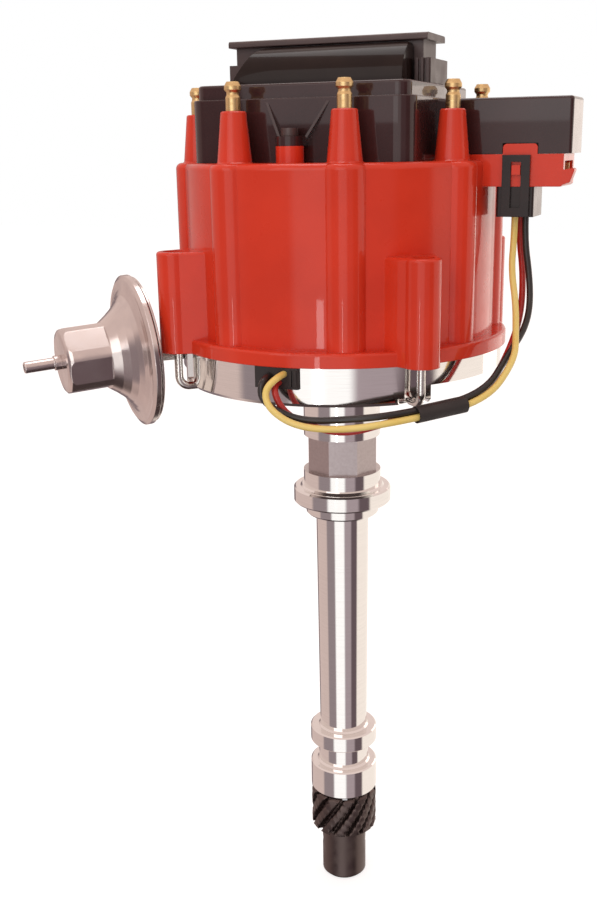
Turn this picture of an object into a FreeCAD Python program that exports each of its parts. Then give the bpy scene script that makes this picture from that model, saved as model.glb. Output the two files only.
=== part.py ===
import FreeCAD, Part
import math
import os
from FreeCAD import Vector

# Ignition distributor for a V8 engine: a tall cap with the coil built in, and an adjustable vacuum can.
# Millimetres. The origin is on the shaft's axis, at the underside of the clamp collar.
# +Z points up to the cap and +X points to the cap's connector shelf.

os.makedirs("parts", exist_ok=True)

# Clearances and general values
running_fit = 0.04
turning_gap = 0.1
seat_gap = 0.3
cut_over = 1.0
terminals = 8
spring_step_count = 6
screw_radius = 1.5
screw_depth = 2.4
screw_head_radius = 2.7
screw_head_height = 2.0
screw_slot_half = 0.35
screw_slot_depth = 0.8

# Lower housing: seat collar, pilot, tube and oil bands
collar_radius = 22.1
collar_height = 7.45
step_radius = 17.5
step_height = 7.8
pilot_radius = 16.5
pilot_length = 5.7
tube_top_radius = 12.0
tube_bottom_radius = 11.2
band_radius = 15.9
band_chamfer = 0.6
upper_band_top = 114.3
upper_band_width = 7.9
band_groove_width = 10.8
band_groove_radius = 12.0
lower_band_width = 14.1
foot_fillet = 0.8
collar_edge = 0.8
octagon_radius = 16.4
octagon_height = 16.25
neck_radius = 17.2
neck_height = 27.7

# Bowl
bowl_radius = 69.5
bowl_wall = 5.0
bowl_depth = 15.7
bowl_floor = 3.2
shallow_step = 7.0
deep_half_angle = 51.0
bowl_chamfer = 1.4
lip_height = 3.0
lip_width = 1.5
boss_radius = 13.0
boss_height = 21.7
shoulder_radius = 16.0
shoulder_height = 14.8

# Shaft and bushings
shaft_radius = 6.24
bushing_wall = 1.7
upper_bushing_length = 25.0
lower_bushing_length = 24.0
bore_relief = 1.0

# Drive gear
gear_teeth = 13
gear_tip_radius = 15.8
gear_root_radius = 12.7
gear_face = 20.8
gear_lean = 36.0
gear_section_count = 9
gear_hub_radius = 10.7
gear_hub_length = 26.7
gear_hub_chamfer = 1.2
washer_thickness = 0.8
gear_pin_radius = 2.4
gear_pin_drop = 10.0
gear_pin_angle = 22.5
drive_slot_width = 4.9
drive_slot_depth = 7.0

# Pickup
plate_thickness = 1.5
plate_radius = 32.0
magnet_inner = 23.5
magnet_outer = 31.0
magnet_height = 5.5
coil_inner = 16.2
coil_outer = 22.0
pole_thickness = 2.0
pole_open_radius = 17.4
tooth_gap = 0.4
clip_thickness = 0.8
clip_radius = 15.4
pickup_pin_radius = 2.0

# Trigger wheel and centrifugal advance
trigger_tip = 14.2
trigger_root = 11.4
trigger_height = 5.6
sleeve_wall = 2.2
base_radius = 26.0
base_thickness = 2.0
weight_pivot_offset = 21.0
weight_pin_radius = 2.2
weight_thickness = 3.0
weight_inner = 15.0
weight_outer = 25.5
weight_start = 75.0
weight_end = 160.0
cam_half_length = 13.0
cam_half_width = 6.0
spring_post_offset = 10.6
spring_post_radius = 1.3
spring_rise = 2.2
post_rise = 3.4
rotor_post_offset = 20.0
rotor_post_radius = 4.0
rotor_post_height = 8.0
rotor_screw_length = 7.5

# Rotor
rotor_disc_radius = 27.0
rotor_disc_thickness = 3.0
rotor_hub_radius = 9.0
rotor_hub_height = 6.5
rotor_arm_length = 50.0
rotor_arm_width = 14.0
blade_width = 8.0
blade_thickness = 1.5
spark_gap = 0.8

# Cap
skirt_radius = 71.4
skirt_height = 5.8
cap_wall_radius = 65.6
cap_height = 75.6
cap_edge_round = 2.5
cap_inner_radius = 62.8
well_floor = 51.0
cap_ceiling = well_floor - 6.0
rib_radius = 8.5
rib_reach = 69.6
tower_circle = 59.33
tower_base_radius = 6.75
tower_top_radius = 4.95
tower_height = 19.2
tower_foot_round = 0.5
post_x = -1.1
post_radius = 5.4
post_height = 6.2
lug_radius = 7.1
lug_root_half = 12.2
lug_height = 41.2
lug_round = 1.2
latch_well_rise = 10.0

# Spark terminals
terminal_inner_radius = 2.5
terminal_reach_in = 16.0
terminal_shank_radius = 2.85
terminal_ball_radius = 3.25
terminal_height = 10.8
terminal_neck_radius = 2.4

# Centre contact
carbon_radius = 3.0
carbon_length = 9.0

# Latches
latch_circle = bowl_radius + 5.0
latch_radius = 1.7
latch_bend = 4.4
latch_foot = 8.4
latch_seat_rise = 2.7
latch_recess_radius = bowl_radius - 1.3
latch_recess_half = 4.4
latch_head_radius = 4.0
latch_head_height = 5.0
latch_spring_wire = 0.45
latch_spring_coils = 6

# Connector shelf, plug and its clip
shelf_start = 58.0
shelf_end = 95.8
shelf_half = 12.0
shelf_low = 65.4
shelf_height = 12.3
socket_start = 71.0
socket_end = 83.8
socket_half = 9.0
blade_pitch = 4.0
socket_depth = 9.6
plug_start = 70.0
plug_end = 84.8
plug_back = 6.0
plug_height = 11.6
clip_start = 72.4
clip_end = 83.2
clip_rise = 12.0
clip_thick = 1.5
clip_leg = 3.4
feed_wall = 4.6
bump_start = 72.2
bump_end = 85.7
bump_height = 3.9
bump_depth = 3.0

# Coil and its cover
cover_left = -47.0
cover_right = 45.5
cover_half = 45.8
cover_corner = 7.0
cover_wall = 2.4
tier_inset = 2.0
cover_rim = 6.0
cover_top = cap_height + 29.5
arm_end = 98.6
arm_top = 98.9
arm_low = shelf_low + shelf_height
cover_boss_height = 3.6
boss_reach = 5.2
cover_web_half = 13.3
web_thickness = 1.2
web_top_depth = 1.4
web_foot_depth = 5.0
cover_screw_head_radius = 3.3
cover_screw_head_height = 3.0
coil_left = -37.5
coil_right = 36.0
coil_half = 25.0
coil_top = cover_top + 15.7
coil_round = 14.7
core_half = 8.8
core_left = -42.9
core_right = 38.6
foot_left = -44.8
foot_right = 42.6
foot_half = 12.0
foot_height = 9.4
flange_height = 2.6
flange_half = 12.5
flange_level = coil_top + 3.2
seal_thickness = 2.5

# Vacuum can
can_angle = -132.5
can_tilt = 3.8
can_x = -(bowl_radius + 7.5)
can_y = -(bowl_radius - 22.5)
can_height = 72.9
can_radius = 32.3
can_skin = 1.2
rear_depth = 4.9
rear_hole = 5.0
spring_room = 9.5
drum_radius = 24.0
hex_radius = 15.4
hex_turn = -14.2
boss_round_radius = 14.3
flare_count = 6
hex_start = 13.6
hex_end = 32.2
nipple_radius = 2.4
nipple_spigot = 2.1
nipple_collar = 3.1
nipple_collar_height = 2.8
nipple_chamfer = 0.4
nipple_root = 0.3
crimp_low = -1.2
nipple_end = 47.6
bracket_width = 22.0
bracket_thickness = 1.5
bracket_inner_reach = 45.0
bracket_tab_depth = 8.5
vacuum_spring_radius = 7.4
rod_half_width = 3.5
rod_thickness = 1.6
pickup_swing = 10.0

# Electronics
module_length = 56.0
module_width = 22.0
module_height = 9.5
module_offset = bowl_radius - 24.5
capacitor_radius = 5.4
capacitor_length = 20.0
capacitor_angle = 62.0
capacitor_offset = bowl_radius - 23.5

# Wires: each lead's route runs from the plug, through the sleeve and into the grommet
wire_radius = 1.35
sleeve_radius = 3.3
sleeve_right = Vector(68.1, -45.7, 60.0)
sleeve_left = Vector(53.6, -62.1, 58.3)
sleeve_lead = 8.5
grommet_half = 9.3
grommet_face = bowl_radius + 1.5
grommet_low = 66.5
yellow_down = [
    Vector(76.3, -5.0, 128.7), Vector(76.3, -5.0, 119.5), Vector(78.3, -7.0, 108.0),
    Vector(81.4, -11.0, 94.5), Vector(82.2, -18.0, 84.0), Vector(83.3, -27.9, 74.9)]
yellow_under = [
    Vector(30.5, -76.95, 53.9), Vector(12.8, -80.4, 54.3), Vector(2.4, -82.7, 60.7),
    Vector(-0.9, -80.3, 67.4), Vector(3.4, -77.4, 72.4), Vector(3.4, -grommet_face, 72.4)]
black_down = [
    Vector(79.8, -1.0, 128.7), Vector(79.8, -1.0, 119.0), Vector(82.6, -2.0, 104.0),
    Vector(84.0, -6.0, 92.0), Vector(83.2, -13.0, 84.0), Vector(80.0, -23.3, 76.9)]
black_under = [
    Vector(30.2, -74.4, 57.3), Vector(13.5, -76.8, 56.0), Vector(2.6, -79.8, 60.4),
    Vector(-3.4, -78.6, 64.6), Vector(-2.6, -77.6, 71.4), Vector(-2.6, -grommet_face, 71.4)]
red_down = [
    Vector(76.8, 3.0, 128.7), Vector(76.8, 3.0, 119.0), Vector(79.0, 1.5, 106.5),
    Vector(80.4, -4.5, 93.0), Vector(79.9, -12.0, 83.0), Vector(77.9, -23.9, 72.8)]
red_under = [
    Vector(29.6, -73.7, 51.2), Vector(13.7, -72.9, 53.4), Vector(4.9, -76.5, 59.0),
    Vector(1.2, -77.6, 69.0), Vector(1.2, -grommet_face, 69.0)]

# Levels worked out from the sizes above
octagon_low = collar_height + step_height
neck_low = octagon_low + octagon_height
bowl_low = neck_low + neck_height
rim = bowl_low + bowl_depth
shallow_low = bowl_low + shallow_step
deep_floor = bowl_low + bowl_floor
shallow_floor = shallow_low + bowl_floor
boss_top = bowl_low + boss_height
shoulder_top = bowl_low + shoulder_height
band_low = -(upper_band_top + upper_band_width + band_groove_width + lower_band_width)
gear_top = band_low - washer_thickness - seat_gap
gear_low = gear_top - gear_face
hub_low = gear_low - gear_hub_length
plate_low = shoulder_top + 0.2
plate_top = plate_low + plate_thickness
pole_low = plate_top + magnet_height
trigger_low = pole_low + 0.2
base_low = trigger_low + trigger_height
base_top = base_low + base_thickness
cam_low = base_top + 0.4
cam_top = cam_low + weight_thickness
disc_low = base_top + rotor_post_height
hub_top = disc_low + rotor_disc_thickness + rotor_hub_height
blade_top = hub_top + blade_thickness
cap_top = rim + cap_height
ceiling = rim + cap_ceiling
well = rim + well_floor
tower_top = cap_top + tower_height
sleeve_bore = shaft_radius + running_fit
rib_circle = rib_reach - rib_radius
cover_low = cap_top
post_circle = cover_half + boss_reach
tier_low = rim + cover_top - cover_rim
cover_boss_low = cap_top + post_height
latch_seat = bowl_low + latch_seat_rise
rim_top = rim + cover_top
arm_bottom = rim + arm_low
shelf_bottom = rim + shelf_low
shelf_top = shelf_bottom + shelf_height
pickup_radius = abs(can_x * math.sin(math.radians(can_angle)) - can_y * math.cos(math.radians(can_angle)))
can_distance = can_x * math.cos(math.radians(can_angle)) + can_y * math.sin(math.radians(can_angle))
pickup_angle = can_angle - 90.0
tower_angles = [22.5 + 45.0 * place for place in range(terminals)]
rotor_angle = tower_angles[6]
contact_low = blade_top + seat_gap
coil_low = well + seal_thickness
pin_level = gear_low - gear_pin_drop
latch_angles = [45.0, 135.0, 225.0, 315.0]


def at(radius, angle, height=0.0):
    turn_angle = math.radians(angle)
    return Vector(radius * math.cos(turn_angle), radius * math.sin(turn_angle), height)


def cylinder(radius, low, high, x=0.0, y=0.0):
    return Part.makeCylinder(radius, high - low, Vector(x, y, low))


def ring(outer, inner, low, high):
    return cylinder(outer, low, high).cut(cylinder(inner, low - cut_over, high + cut_over))


def block(x_range, y_range, z_range):
    size = [end - start for start, end in (x_range, y_range, z_range)]
    return Part.makeBox(size[0], size[1], size[2], Vector(x_range[0], y_range[0], z_range[0]))


def turned(profile):
    points = [Vector(radius, 0, height) for radius, height in profile]
    face = Part.Face(Part.makePolygon(points + points[:1]))
    return face.revolve(Vector(0, 0, 0), Vector(0, 0, 1), 360)


def rotated(shape, angle, centre=Vector(0, 0, 0)):
    copy = shape.copy()
    copy.rotate(centre, Vector(0, 0, 1), angle)
    return copy


def moved(shape, x, y, z=0.0):
    copy = shape.copy()
    copy.translate(Vector(x, y, z))
    return copy


def joined(shapes):
    return shapes[0].fuse(shapes[1:]).removeSplitter()


def sector(inner, outer, start, end, low, high):
    middle = (start + end) / 2
    edges = [
        Part.LineSegment(at(inner, start, low), at(outer, start, low)).toShape(),
        Part.Arc(at(outer, start, low), at(outer, middle, low), at(outer, end, low)).toShape(),
        Part.LineSegment(at(outer, end, low), at(inner, end, low)).toShape(),
        Part.Arc(at(inner, end, low), at(inner, middle, low), at(inner, start, low)).toShape(),
    ]
    return Part.Face(Part.Wire(edges)).extrude(Vector(0, 0, high - low))


def rounded_outline(corners):
    """Closed wire of straight runs and tangent arcs: corners is a list of (point, radius)."""
    edges = []
    arcs = []
    count = len(corners)
    for place in range(count):
        before = corners[place - 1][0]
        corner, radius = corners[place]
        after = corners[(place + 1) % count][0]
        to_before = (before - corner).normalize()
        to_after = (after - corner).normalize()
        half = to_before.getAngle(to_after) / 2
        reach = radius / math.tan(half)
        middle_line = (to_before + to_after).normalize()
        centre = corner + middle_line * (radius / math.sin(half))
        start = corner + to_before * reach
        end = corner + to_after * reach
        arcs.append((start, centre - middle_line * radius, end, radius))
    for place in range(count):
        start, middle, end, radius = arcs[place]
        if radius > 0:
            edges.append(Part.Arc(start, middle, end).toShape())
        following = arcs[(place + 1) % count][0]
        edges.append(Part.LineSegment(end, following).toShape())
    return Part.Wire(edges)


def rounded_block(x_range, y_range, z_range, radius):
    corners = [
        (Vector(x_range[0], y_range[0], z_range[0]), radius),
        (Vector(x_range[1], y_range[0], z_range[0]), radius),
        (Vector(x_range[1], y_range[1], z_range[0]), radius),
        (Vector(x_range[0], y_range[1], z_range[0]), radius),
    ]
    return Part.Face(rounded_outline(corners)).extrude(Vector(0, 0, z_range[1] - z_range[0]))


def coil_spring(radius, wire, length, coils):
    """Coil spring that stands on the XY plane along +Z: six short lengths a coil, of six-sided wire."""
    height = length - 2 * wire
    last = coils * spring_step_count
    points = []
    for place in range(last + 1):
        points.append(at(radius, 360 * place / spring_step_count, wire + height * place / last))
    along = (points[1] - points[0]).normalize()
    across = along.cross(Vector(0, 0, 1)).normalize()
    above = across.cross(along)
    corners = []
    for place in range(7):
        turn_angle = math.radians(60 * place)
        corners.append(
            points[0] + across * (wire * math.cos(turn_angle)) + above * (wire * math.sin(turn_angle)))
    return Part.makePolygon(points).makePipeShell([Part.makePolygon(corners)], True, False, 1)


def along_can(shape):
    """Places a shape made along +Z, with its own +X up, on the vacuum can's drooping axis."""
    tilt = math.radians(can_tilt)
    nose = at(math.cos(tilt), can_angle, -math.sin(tilt))
    side = at(1.0, can_angle).cross(Vector(0, 0, 1))
    up = side.cross(nose)
    frame = FreeCAD.Matrix(
        up.x, side.x, nose.x, can_x,
        up.y, side.y, nose.y, can_y,
        up.z, side.z, nose.z, can_height,
        0, 0, 0, 1,
    )
    placed = shape.copy()
    placed.transformShape(frame)
    return placed


def beside_can(along, aside, z_range):
    """Flat bar lying along the can's axis: along is measured from the rim to the nose."""
    bar = block(along, aside, z_range)
    return moved(rotated(bar, can_angle), can_x, can_y)


# Housing


def housing():
    outline = [
        (0, band_low),
        (band_radius - band_chamfer, band_low),
        (band_radius, band_low + band_chamfer),
        (band_radius, band_low + lower_band_width - band_chamfer),
        (band_radius - band_chamfer, band_low + lower_band_width),
        (band_groove_radius + foot_fillet, band_low + lower_band_width),
        (band_groove_radius, band_low + lower_band_width + foot_fillet),
        (band_groove_radius, band_low + lower_band_width + band_groove_width),
        (band_radius - band_chamfer, band_low + lower_band_width + band_groove_width),
        (band_radius, band_low + lower_band_width + band_groove_width + band_chamfer),
        (band_radius, -upper_band_top - band_chamfer),
        (band_radius - band_chamfer, -upper_band_top),
        (tube_bottom_radius + foot_fillet, -upper_band_top),
        (tube_bottom_radius, -upper_band_top + foot_fillet),
        (tube_top_radius, -pilot_length),
        (pilot_radius - collar_edge, -pilot_length),
        (pilot_radius, -pilot_length + collar_edge),
        (pilot_radius, 0),
        (collar_radius - collar_edge, 0),
        (collar_radius, collar_edge),
        (collar_radius, collar_height - collar_edge),
        (collar_radius - collar_edge, collar_height),
        (step_radius + 2 * foot_fillet, collar_height),
        (step_radius + foot_fillet, collar_height + foot_fillet),
        (step_radius, collar_height + foot_fillet),
        (step_radius, octagon_low),
        (0, octagon_low),
    ]
    corners = [at(octagon_radius, 45 * corner, octagon_low) for corner in range(9)]
    octagon = Part.Face(Part.makePolygon(corners)).extrude(Vector(0, 0, octagon_height))
    bowl = turned([
        (0, bowl_low),
        (bowl_radius - bowl_chamfer, bowl_low),
        (bowl_radius, bowl_low + bowl_chamfer),
        (bowl_radius, rim),
        (bowl_radius - bowl_wall + lip_width, rim),
        (bowl_radius - bowl_wall + lip_width, rim + lip_height),
        (bowl_radius - bowl_wall, rim + lip_height),
        (bowl_radius - bowl_wall, shallow_floor),
        (shoulder_radius, shallow_floor),
        (shoulder_radius, shoulder_top),
        (boss_radius, shoulder_top),
        (boss_radius, boss_top),
        (0, boss_top),
    ])
    body = joined([turned(outline), octagon, cylinder(neck_radius, neck_low, bowl_low + cut_over), bowl])
    clear = bowl_radius + cut_over
    inner = bowl_radius - bowl_wall
    for middle in (0.0, 180.0):
        start = middle - 90 + deep_half_angle
        end = middle + 90 - deep_half_angle
        body = body.cut(sector(neck_radius, clear, start, end, bowl_low - cut_over, shallow_low))
    for middle in (90.0, 270.0):
        start = middle - deep_half_angle + 3
        end = middle + deep_half_angle - 3
        body = body.cut(
            sector(shoulder_radius + 6, inner, start, end, deep_floor, shallow_floor + cut_over))
    bore = shaft_radius + bushing_wall
    shaft_hole = cylinder(shaft_radius + bore_relief, band_low - cut_over, boss_top + cut_over)
    upper_hole = cylinder(bore, boss_top - upper_bushing_length, boss_top + cut_over)
    lower_hole = cylinder(bore, band_low - cut_over, band_low + lower_bushing_length)
    body = body.cut(joined([shaft_hole, upper_hole, lower_hole]))
    clip_groove = ring(
        boss_radius + cut_over, clip_radius - 3.4, plate_top + 0.2, plate_top + 0.2 + clip_thickness)
    grommet_notch = block(
        (-grommet_half, grommet_half), (-clear, -inner + 2.5), (grommet_low, rim + lip_height + cut_over))
    reach = (-bracket_inner_reach - 1, 0)
    half = bracket_width / 2 + 1
    can_notch = beside_can(reach, (-half, half), (shallow_floor, rim + lip_height + cut_over))
    recesses = []
    for angle in latch_angles:
        recess = block(
            (latch_recess_radius, clear), (-latch_recess_half, latch_recess_half),
            (bowl_low - cut_over, rim + cut_over))
        foot_room = cylinder(latch_foot + 2 * seat_gap, bowl_low - cut_over, latch_seat, latch_circle, 0)
        recesses.append(rotated(joined([recess, foot_room]), angle))
    return body.cut([clip_groove, grommet_notch, can_notch] + recesses + screw_holes())


def screw_holes():
    """Threaded holes in the bowl floor for the bracket, module and capacitor screws."""
    holes = []
    for x, y, floor in bracket_screw_places() + module_screw_places() + capacitor_screw_place():
        holes.append(cylinder(screw_radius, floor - screw_depth, floor + cut_over, x, y))
    return holes


def screw(x, y, seat, depth, head_radius=screw_head_radius, head_height=screw_head_height):
    """Slotted cheese-head screw: seat is the level under its head."""
    top = seat + head_height
    head = cylinder(head_radius, seat, top, x, y)
    slot = block(
        (x - head_radius, x + head_radius), (y - screw_slot_half, y + screw_slot_half),
        (top - screw_slot_depth, top + cut_over))
    return joined([head, cylinder(screw_radius, seat - depth, seat, x, y)]).cut(slot)


def bracket_screw_places():
    places = []
    for aside in (-7.6, 7.6):
        spot = at(bracket_inner_reach - 11, can_angle + 180) + at(aside, can_angle + 90)
        places.append((can_x + spot.x, can_y + spot.y, shallow_floor))
    return places


def module_screw_places():
    return [(side * (module_length / 2 - 4), -module_offset, deep_floor) for side in (-1, 1)]


def capacitor_screw_place():
    spot = at(capacitor_offset, capacitor_angle) + at(capacitor_length / 2 + 4, capacitor_angle + 90)
    return [(spot.x, spot.y, deep_floor)]


def upper_bushing():
    return ring(shaft_radius + bushing_wall, sleeve_bore, boss_top - upper_bushing_length, boss_top)


def lower_bushing():
    return ring(shaft_radius + bushing_wall, sleeve_bore, band_low, band_low + lower_bushing_length)


def ignition_module():
    """Flat electronic module with rounded ends, two screw ears and spade terminals."""
    half = module_length / 2
    base = rounded_block(
        (-half, half), (-module_offset - 6, -module_offset + 6), (deep_floor, deep_floor + 3), 5.9)
    body = rounded_block(
        (-half + 9, half - 9), (-module_offset - module_width / 2, -module_offset + module_width / 2),
        (deep_floor, deep_floor + module_height), 3)
    spades = [
        block(
            (x - 1.6, x + 1.6), (-module_offset - module_width / 2 - 4, -module_offset),
            (deep_floor + 6, deep_floor + 6.8))
        for x in (-12, -4, 4, 12)]
    holes = [cylinder(screw_radius, deep_floor - cut_over, deep_floor + 4, x, y)
        for x, y, _ in module_screw_places()]
    return joined([base, body] + spades).cut(holes)


def capacitor():
    """Tubular noise capacitor that lies on the floor, with a strap ear."""
    can = Part.makeCylinder(
        capacitor_radius, capacitor_length, Vector(0, -capacitor_length / 2, capacitor_radius),
        Vector(0, 1, 0))
    ear = block((-4, 4), (0, capacitor_length / 2 + 8), (0, 1.2))
    hole = cylinder(screw_radius, -cut_over, 3, 0, capacitor_length / 2 + 4)
    spot = at(capacitor_offset, capacitor_angle)
    return moved(rotated(joined([can, ear]).cut(hole), capacitor_angle), spot.x, spot.y, deep_floor)


def wire_grommet():
    """Moulded rubber block that closes the notch in the bowl's wall."""
    inner = bowl_radius - bowl_wall
    side_gap = 0.1
    half = grommet_half - side_gap
    body = rounded_block((-half, half), (-grommet_face, -inner + 2.3), (grommet_low, rim - 0.1), 0.8)
    flange = block((-half, half), (-inner + 2.3, -inner + 4.2), (grommet_low + 0.1, rim + lip_height))
    ribs = [block((x - 0.5, x + 0.5), (-grommet_face - 0.7, -grommet_face), (grommet_low + 1, rim - 1))
        for x in (6.2, 8.2)]
    return joined([body, flange] + ribs)


# Cap


def tower_shape():
    top_round = 0.5
    return turned([
        (0, cap_top - 4),
        (tower_base_radius + tower_foot_round, cap_top - 4),
        (tower_base_radius + tower_foot_round, cap_top),
        (tower_base_radius, cap_top + tower_foot_round),
        (tower_top_radius, tower_top - top_round),
        (tower_top_radius - top_round, tower_top),
        (0, tower_top),
    ])


def latch_lug(angle):
    """Upright boss on the cap's side, joined to it by a web that widens to the wall."""
    root = cap_wall_radius - 4
    outline = [
        Vector(root, -lug_root_half, rim), Vector(latch_circle, -lug_radius, rim),
        Vector(latch_circle, lug_radius, rim), Vector(root, lug_root_half, rim)]
    web = Part.Face(Part.makePolygon(outline + outline[:1])).extrude(Vector(0, 0, lug_height))
    lug = joined([cylinder(lug_radius, rim, rim + lug_height, latch_circle, 0), web])
    top_edges = [edge for edge in lug.Edges if edge.BoundBox.ZMin > rim + lug_height - 0.1]
    return rotated(lug.makeFillet(lug_round, top_edges), angle)


def latch_well(angle):
    rod_hole = cylinder(latch_radius + 0.25, rim - cut_over, rim + lug_height + cut_over, latch_circle, 0)
    head_well = cylinder(
        latch_head_radius + 0.3, rim + latch_well_rise, rim + lug_height + cut_over, latch_circle, 0)
    return rotated(joined([rod_hole, head_well]), angle)


def cap():
    """Cap with vertical ribs under the towers, latch lugs, a connector shelf and the coil well."""
    wall = cylinder(cap_wall_radius, rim, cap_top)
    wall = wall.makeFillet(
        cap_edge_round, [edge for edge in wall.Edges if edge.BoundBox.ZMin > cap_top - 0.1])
    skirt = cylinder(skirt_radius, rim, rim + skirt_height)
    skirt = skirt.makeFillet(
        1.2, [edge for edge in skirt.Edges if edge.BoundBox.ZMin > rim + skirt_height - 0.1])
    rib = cylinder(rib_radius, rim, cap_top, rib_circle, 0)
    rib = rib.makeFillet(cap_edge_round, [edge for edge in rib.Edges if edge.BoundBox.ZMin > cap_top - 0.1])
    pieces = [wall, skirt]
    pieces += [rotated(rib, angle) for angle in tower_angles]
    pieces += [moved(tower_shape(), at(tower_circle, angle).x, at(tower_circle, angle).y)
        for angle in tower_angles]
    pieces += [latch_lug(angle) for angle in latch_angles]
    pieces += [cylinder(post_radius, cap_top - 4, cap_top + post_height, post_x, side * post_circle)
        for side in (-1, 1)]
    pieces += [connector_shelf()]
    body = joined(pieces)
    register = cylinder(bowl_radius - bowl_wall + lip_width + 0.2, rim - cut_over, rim + lip_height + 0.3)
    cavity = cylinder(cap_inner_radius, rim - cut_over, ceiling)
    well_cut = rounded_block(
        (coil_left - 3, coil_right + 3), (-coil_half - 4, coil_half + 4), (well, cap_top + cut_over), 5)
    body = body.cut([register, cavity, well_cut])
    contact_boss = cylinder(carbon_radius + 3, contact_low + 4, ceiling + 1)
    contact_bore = cylinder(carbon_radius + 0.1, contact_low, well + cut_over)
    cuts = [contact_bore] + [latch_well(angle) for angle in latch_angles]
    cuts += [
        rotated(cylinder(terminal_inner_radius, ceiling - 2, tower_top + cut_over, tower_circle, 0), angle)
             for angle in tower_angles]
    cuts += [
        cylinder(screw_radius, cap_top - 4, cap_top + post_height + cut_over, post_x, side * post_circle)
             for side in (-1, 1)]
    cuts += [cylinder(screw_radius, well - 3, well + cut_over, x, y) for x, y in coil_screw_places()]
    return joined([body, contact_boss]).cut(cuts)


def connector_shelf():
    """Shelf on the +X side that carries the plug socket below and the feed socket at its end."""
    corners = [
        (Vector(shelf_start, -shelf_half, shelf_bottom), 0.0),
        (Vector(shelf_end, -shelf_half, shelf_bottom), 1.2),
        (Vector(shelf_end, -shelf_half, shelf_top), 0.0),
        (Vector(shelf_start, -shelf_half, shelf_top), 0.0),
    ]
    shelf = Part.Face(rounded_outline(corners)).extrude(Vector(0, 2 * shelf_half, 0))
    bump = Part.Face(rounded_outline([
        (Vector(bump_start, -shelf_half, shelf_top - 1), 0.0),
        (Vector(bump_end, -shelf_half, shelf_top - 1), 0.0),
        (Vector(bump_end, -shelf_half, shelf_top + bump_height), 1.6),
        (Vector(bump_start, -shelf_half, shelf_top + bump_height), 1.6),
    ])).extrude(Vector(0, bump_depth, 0))
    wedge = block(
        (clip_start + clip_leg + 0.3, clip_end - clip_leg - 0.3),
        (-shelf_half - clip_thick, -shelf_half + 1), (shelf_bottom + 4.4, shelf_bottom + 8.2))
    hook = Part.Face(rounded_outline([
        (Vector(shelf_end - 1, -shelf_half, shelf_bottom + 0.4), 0.0),
        (Vector(shelf_end + 2.6, -shelf_half, shelf_bottom + 1.6), 0.8),
        (Vector(shelf_end + 4.6, -shelf_half, shelf_bottom + 7.2), 0.8),
        (Vector(shelf_end - 1, -shelf_half, shelf_bottom + 6.2), 0.0),
    ])).extrude(Vector(0, 5, 0))
    socket = block(
        (socket_start, socket_end), (-socket_half, plug_back - 2),
        (shelf_bottom - cut_over, shelf_bottom + socket_depth))
    feed = block(
        (socket_end + feed_wall, shelf_end + cut_over), (-socket_half, socket_half),
        (shelf_bottom + 2.6, shelf_bottom + 9.6))
    return joined([shelf, bump, wedge, hook]).cut([socket, feed])


def carbon_contact():
    return cylinder(carbon_radius, contact_low, contact_low + carbon_length)


def carbon_spring():
    spring = coil_spring(1.9, 0.4, coil_low - 1.0 - contact_low - carbon_length, 5)
    return moved(spring, 0, 0, contact_low + carbon_length)


def spark_terminals():
    """Eight brass posts moulded through the cap, with a ball end for the plug lead's clip."""
    top = tower_top + terminal_height
    post = turned([
        (0, ceiling - terminal_reach_in),
        (terminal_inner_radius, ceiling - terminal_reach_in),
        (terminal_inner_radius, tower_top),
        (terminal_shank_radius, tower_top),
        (terminal_shank_radius, tower_top + 5.0),
        (terminal_neck_radius, tower_top + 6.0),
        (terminal_neck_radius, tower_top + 6.8),
        (terminal_ball_radius, tower_top + 7.8),
        (terminal_ball_radius, tower_top + 9.2),
        (terminal_ball_radius - 0.9, top),
        (0, top),
    ])
    return Part.makeCompound([
        moved(post, at(tower_circle, angle).x, at(tower_circle, angle).y) for angle in tower_angles])


# Coil


def coil_screw_places():
    return [(x, y) for x in (coil_left + 6, coil_right - 6) for y in (-coil_half + 5, coil_half - 5)]


def coil_seal():
    return ring(11.0, carbon_radius + 0.3, well, well + seal_thickness)


def coil_winding():
    """Potted winding with a rounded top that stands out of the cover, open for the iron core."""
    low = coil_low
    top = rim + coil_top
    side = Part.Face(rounded_outline([
        (Vector(coil_left, -coil_half, low), 0.0),
        (Vector(coil_right, -coil_half, low), 0.0),
        (Vector(coil_right - 1.2, -coil_half, top), 2.5),
        (Vector(coil_left + 8.0, -coil_half, top), 7.0),
        (Vector(coil_left, -coil_half, rim_top + 2), 2.0),
    ])).extrude(Vector(0, 2 * coil_half, 0))
    end = Part.Face(rounded_outline([
        (Vector(coil_left - 1, -coil_half, low), 0.0),
        (Vector(coil_left - 1, coil_half, low), 0.0),
        (Vector(coil_left - 1, coil_half, top), coil_round),
        (Vector(coil_left - 1, -coil_half, top), coil_round),
    ])).extrude(Vector(coil_right - coil_left + 2, 0, 0))
    slot = block((core_left, core_right), (-core_half, core_half), (low + 3, top + cut_over))
    body = side.common(end).cut(slot)
    nub = cylinder(1.6, low - 1.0, low + 1)
    return joined([body, nub]).cut(
        [cylinder(screw_radius, low - cut_over, low + 4, x, y) for x, y in coil_screw_places()])


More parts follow.
